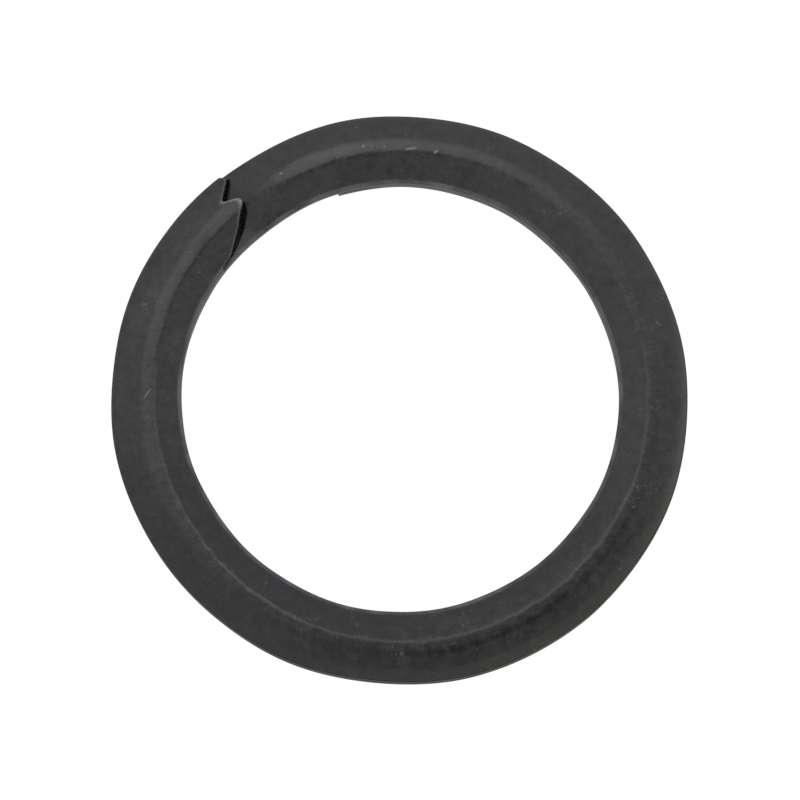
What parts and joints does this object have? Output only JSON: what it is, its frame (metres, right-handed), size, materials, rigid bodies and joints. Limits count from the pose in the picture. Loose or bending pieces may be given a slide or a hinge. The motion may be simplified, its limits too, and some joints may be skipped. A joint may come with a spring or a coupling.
{
  "type": "split key ring",
  "caption": "Flat split key ring: one black spring-steel wire wound in two crowned turns with a stepped crossover, whose two sheared ends spring apart to take keys.",
  "frame": {"origin": "middle of the ring at the level of the lower turn's flat crown, which it lies on", "axes": "+Z along the ring axis from the lower turn to the upper turn; +X and +Y in the plane of the ring, the upper free end 128.6 degrees counter-clockwise from +X"},
  "size_m": [0.032, 0.032, 0.0021],
  "materials": {
    "black_steel": "matte black oxide"
  },
  "bodies": {
    "coil": {"upper_turn_still_1": "black_steel", "upper_turn_still_2": "black_steel", "upper_turn_still_3": "black_steel", "upper_turn_still_4": "black_steel", "upper_turn_still_5": "black_steel", "upper_turn_still_6": "black_steel", "upper_turn_still_7": "black_steel", "crossover_1": "black_steel", "crossover_2": "black_steel", "crossover_3": "black_steel", "lower_turn_still_1": "black_steel", "lower_turn_still_2": "black_steel", "lower_turn_still_3": "black_steel", "lower_turn_still_4": "black_steel", "lower_turn_still_5": "black_steel", "lower_turn_still_6": "black_steel", "lower_turn_still_7": "black_steel"},
    "upper_flex_1": {"upper_turn_flex_1": "black_steel"},
    "upper_flex_2": {"upper_turn_flex_2": "black_steel"},
    "upper_flex_3": {"upper_turn_flex_3": "black_steel"},
    "upper_flex_4": {"upper_turn_flex_4": "black_steel"},
    "upper_flex_5": {"upper_turn_flex_5": "black_steel"},
    "upper_flex_6": {"upper_turn_flex_6": "black_steel"},
    "upper_flex_7": {"upper_turn_flex_7": "black_steel"},
    "upper_end": {"upper_free_end": "black_steel"},
    "lower_flex_1": {"lower_turn_flex_1": "black_steel"},
    "lower_flex_2": {"lower_turn_flex_2": "black_steel"},
    "lower_flex_3": {"lower_turn_flex_3": "black_steel"},
    "lower_flex_4": {"lower_turn_flex_4": "black_steel"},
    "lower_flex_5": {"lower_turn_flex_5": "black_steel"},
    "lower_flex_6": {"lower_turn_flex_6": "black_steel"},
    "lower_flex_7": {"lower_turn_flex_7": "black_steel"},
    "lower_end": {"lower_free_end": "black_steel"}
  },
  "joints": [
    {"name": "upper_turn_open", "type": "hinge", "parent": "coil", "child": "upper_flex_1", "pos_m": [0.00961, -0.01204, 0.00152], "axis": [0.7815, 0.6239, 0], "range_deg": [0, 1.65], "stiffness_Nm_per_rad": 0.5, "springref_deg": -0.57},
    {"name": "upper_turn_open_2", "type": "hinge", "parent": "upper_flex_1", "child": "upper_flex_2", "pos_m": [0.00427, -0.0148, 0.00152], "axis": [0.8655, 0.501, 0], "range_deg": [0, 1.64]},
    {"name": "upper_turn_open_3", "type": "hinge", "parent": "upper_flex_2", "child": "upper_flex_3", "pos_m": [-0.00172, -0.0153, 0.00152], "axis": [0.9337, 0.3579, 0], "range_deg": [0, 1.59]},
    {"name": "upper_turn_open_4", "type": "hinge", "parent": "upper_flex_3", "child": "upper_flex_4", "pos_m": [-0.00744, -0.01348, 0.00152], "axis": [0.9817, 0.1903, 0], "range_deg": [0, 1.49]},
    {"name": "upper_turn_open_5", "type": "hinge", "parent": "upper_flex_4", "child": "upper_flex_5", "pos_m": [-0.01204, -0.00961, 0.00152], "axis": [1, -0.001, 0], "range_deg": [0, 1.32]},
    {"name": "upper_turn_open_6", "type": "hinge", "parent": "upper_flex_5", "child": "upper_flex_6", "pos_m": [-0.0148, -0.00427, 0.00152], "axis": [0.9781, -0.2084, 0], "range_deg": [0, 1.08]},
    {"name": "upper_turn_open_7", "type": "hinge", "parent": "upper_flex_6", "child": "upper_flex_7", "pos_m": [-0.0153, 0.00172, 0.00152], "axis": [0.9083, -0.4184, 0], "range_deg": [0, 0.771]},
    {"name": "upper_turn_open_8", "type": "hinge", "parent": "upper_flex_7", "child": "upper_end", "pos_m": [-0.01348, 0.00744, 0.00152], "axis": [0.7886, -0.6149, 0], "range_deg": [0, 0.403]},
    {"name": "lower_turn_open", "type": "hinge", "parent": "coil", "child": "lower_flex_1", "pos_m": [0.00383, -0.01492, 0.00048], "axis": [-0.9686, -0.2487, 0], "range_deg": [0, 1.65], "stiffness_Nm_per_rad": 0.5, "springref_deg": -0.57},
    {"name": "lower_turn_open_2", "type": "hinge", "parent": "lower_flex_1", "child": "lower_flex_2", "pos_m": [0.00925, -0.01232, 0.00048], "axis": [-0.9209, -0.3897, 0], "range_deg": [0, 1.64]},
    {"name": "lower_turn_open_3", "type": "hinge", "parent": "lower_flex_2", "child": "lower_flex_3", "pos_m": [0.01326, -0.00784, 0.00048], "axis": [-0.8478, -0.5303, 0], "range_deg": [0, 1.59]},
    {"name": "lower_turn_open_4", "type": "hinge", "parent": "lower_flex_3", "child": "lower_flex_4", "pos_m": [0.01525, -0.00217, 0.00048], "axis": [-0.7428, -0.6695, 0], "range_deg": [0, 1.49]},
    {"name": "lower_turn_open_5", "type": "hinge", "parent": "lower_flex_4", "child": "lower_flex_5", "pos_m": [0.01492, 0.00383, 0.00048], "axis": [-0.601, -0.7993, 0], "range_deg": [0, 1.32]},
    {"name": "lower_turn_open_6", "type": "hinge", "parent": "lower_flex_5", "child": "lower_flex_6", "pos_m": [0.01232, 0.00925, 0.00048], "axis": [-0.4222, -0.9065, 0], "range_deg": [0, 1.08]},
    {"name": "lower_turn_open_7", "type": "hinge", "parent": "lower_flex_6", "child": "lower_flex_7", "pos_m": [0.00784, 0.01326, 0.00048], "axis": [-0.2125, -0.9772, 0], "range_deg": [0, 0.771]},
    {"name": "lower_turn_open_8", "type": "hinge", "parent": "lower_flex_7", "child": "lower_end", "pos_m": [0.00217, 0.01525, 0.00048], "axis": [0.0164, -0.9999, 0], "range_deg": [0, 0.403]}
  ],
  "couplings": [
    {"joint": "upper_turn_open_2", "follows": "upper_turn_open", "ratio": 0.9912},
    {"joint": "upper_turn_open_3", "follows": "upper_turn_open", "ratio": 0.9612},
    {"joint": "upper_turn_open_4", "follows": "upper_turn_open", "ratio": 0.9008},
    {"joint": "upper_turn_open_5", "follows": "upper_turn_open", "ratio": 0.8004},
    {"joint": "upper_turn_open_6", "follows": "upper_turn_open", "ratio": 0.6547},
    {"joint": "upper_turn_open_7", "follows": "upper_turn_open", "ratio": 0.4656},
    {"joint": "upper_turn_open_8", "follows": "upper_turn_open", "ratio": 0.2422},
    {"joint": "lower_turn_open_2", "follows": "lower_turn_open", "ratio": 0.9912},
    {"joint": "lower_turn_open_3", "follows": "lower_turn_open", "ratio": 0.9612},
    {"joint": "lower_turn_open_4", "follows": "lower_turn_open", "ratio": 0.9008},
    {"joint": "lower_turn_open_5", "follows": "lower_turn_open", "ratio": 0.8004},
    {"joint": "lower_turn_open_6", "follows": "lower_turn_open", "ratio": 0.6547},
    {"joint": "lower_turn_open_7", "follows": "lower_turn_open", "ratio": 0.4656},
    {"joint": "lower_turn_open_8", "follows": "lower_turn_open", "ratio": 0.2422}
  ]
}
